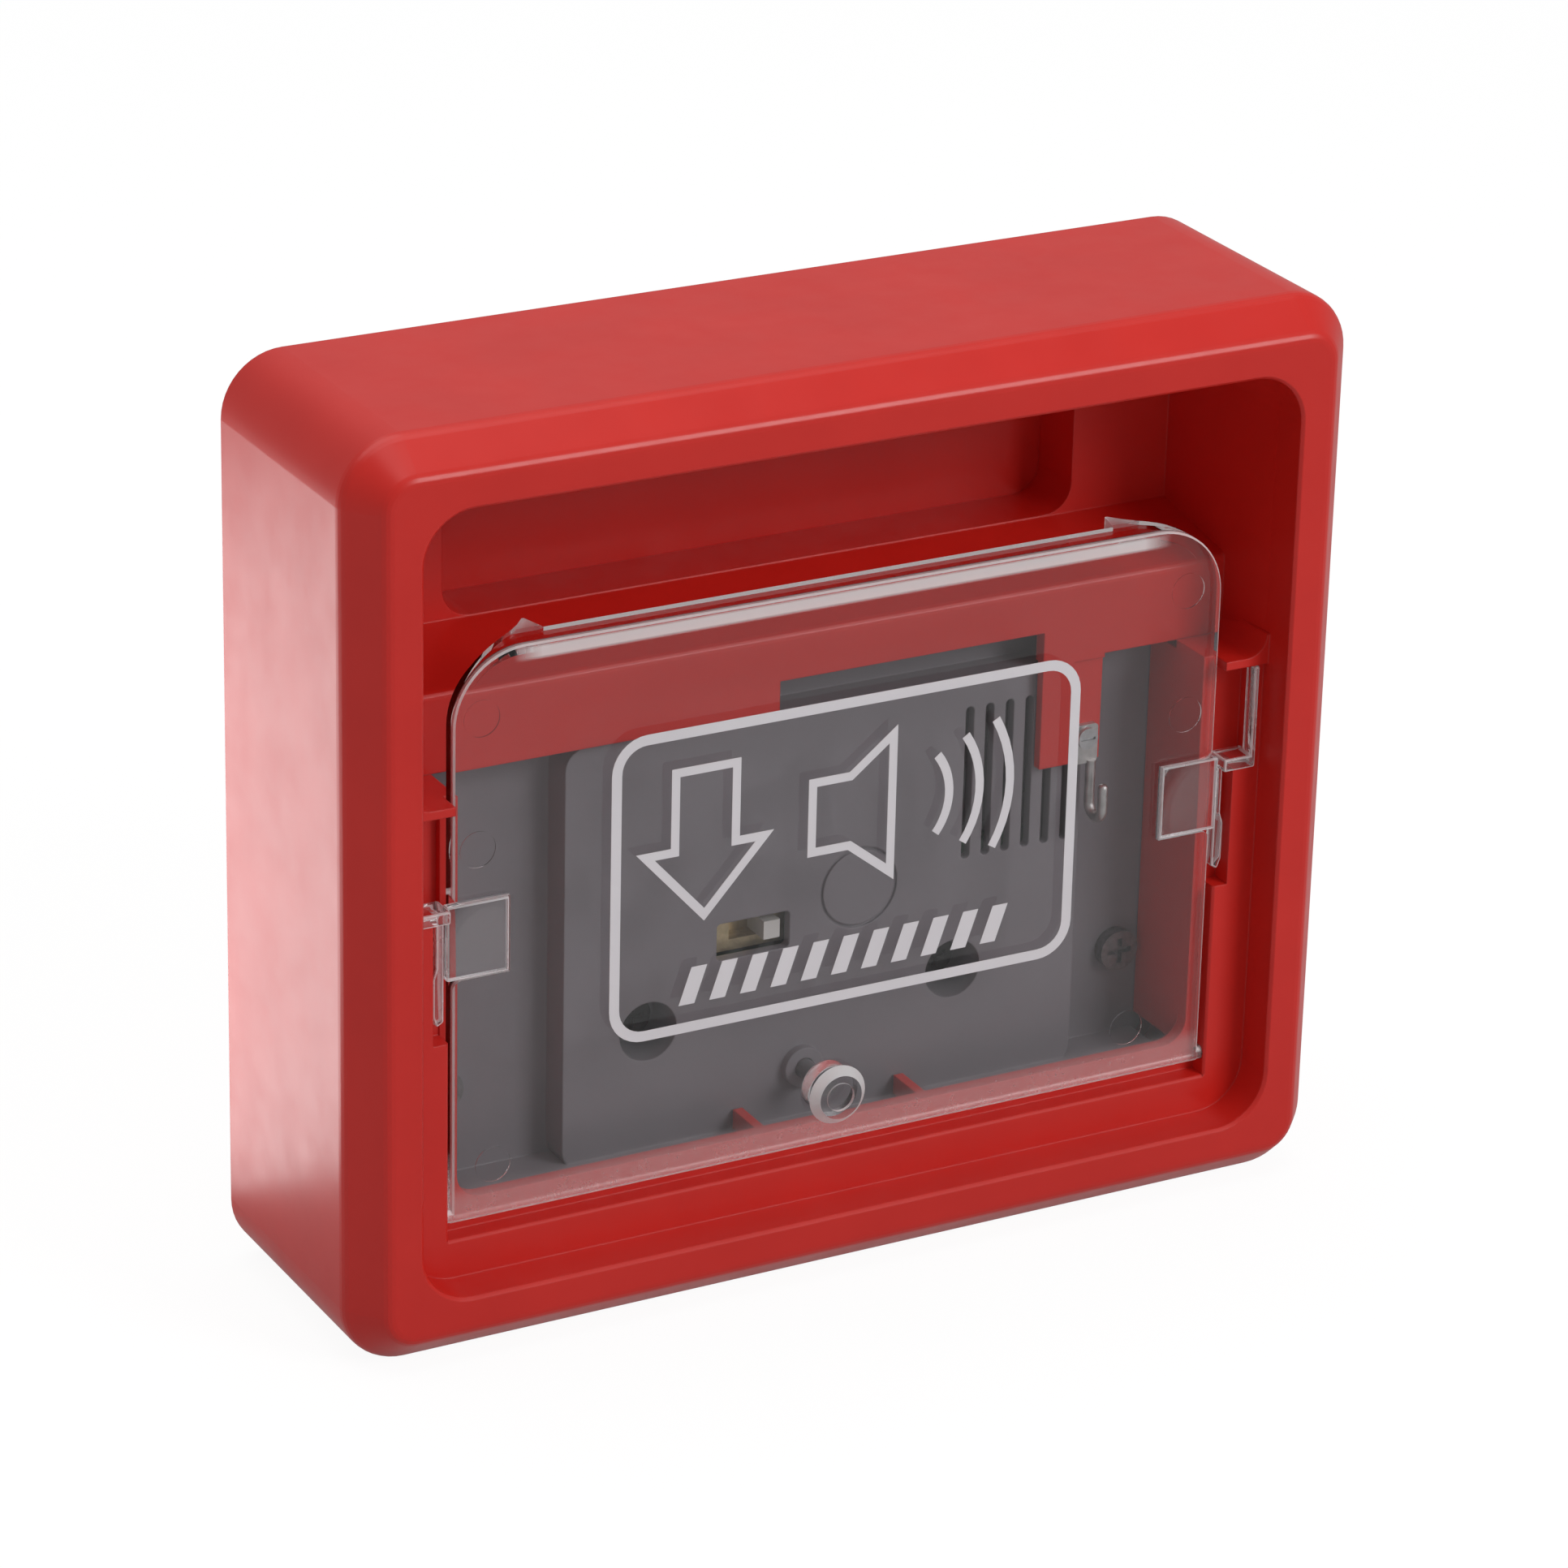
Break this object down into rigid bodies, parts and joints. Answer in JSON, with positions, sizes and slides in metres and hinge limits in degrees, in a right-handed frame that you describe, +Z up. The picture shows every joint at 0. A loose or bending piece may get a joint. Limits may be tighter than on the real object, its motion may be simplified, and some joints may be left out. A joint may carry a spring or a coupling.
{
  "type": "break glass key box",
  "caption": "Red wall box with a clear pull-out cover locked by snap-off side tabs, a finger recess above it, and an alarm unit with a key hook behind it.",
  "frame": {"origin": "middle of the box's footprint, on the flat underside it stands on", "axes": "+X to the right seen from the front, +Y from the front to the wall, +Z up"},
  "size_m": [0.145, 0.041, 0.1265],
  "materials": {
    "red_plastic": "semi-gloss moulded",
    "clear_plastic": "clear moulded",
    "grey_plastic": "satin moulded",
    "board": "coated board",
    "black_plastic": "satin moulded",
    "white_plastic": "satin moulded",
    "lead": "insulated wire",
    "battery_case": "printed metal jacket",
    "brass": "plain",
    "steel": "zinc plated"
  },
  "bodies": {
    "box": {"front_housing": "red_plastic", "back_plate": "red_plastic", "left_tab_clip": "clear_plastic", "right_tab_clip": "clear_plastic", "alarm_front": "grey_plastic", "alarm_base": "grey_plastic", "circuit_board": "board", "sounder": "black_plastic", "sounder_leads": "lead", "battery": "battery_case", "battery_snap": "black_plastic", "battery_leads": "lead", "slide_switch_body": "brass", "microswitch_body": "black_plastic", "key_hook": "steel", "hook_screw": "steel", "panel_screws": "steel", "alarm_screws": "steel", "case_screws": "steel"},
    "cover": {"clear_cover": "clear_plastic", "left_break_tab": "clear_plastic", "right_break_tab": "clear_plastic"},
    "switch_pin": {"cover_switch_pin": "white_plastic", "microswitch_button": "white_plastic"},
    "switch_knob": {"slide_switch_knob": "white_plastic"}
  },
  "joints": [
    {"name": "cover_tilt", "type": "hinge", "parent": "box", "child": "cover", "pos_m": [0, -0.013, 0.0176], "axis": [1, 0, 0], "range_deg": [0, 90]},
    {"name": "switch_pin_slide", "type": "slide", "parent": "box", "child": "switch_pin", "axis": [0, -1, 0], "range_m": [0, 0.0012]},
    {"name": "switch_knob_slide", "type": "slide", "parent": "box", "child": "switch_knob", "axis": [-1, 0, 0], "range_m": [0, 0.004]}
  ],
  "couplings": [
    {"joint": "switch_pin_slide", "follows": "cover_tilt", "m_per_rad": 0.00076}
  ]
}
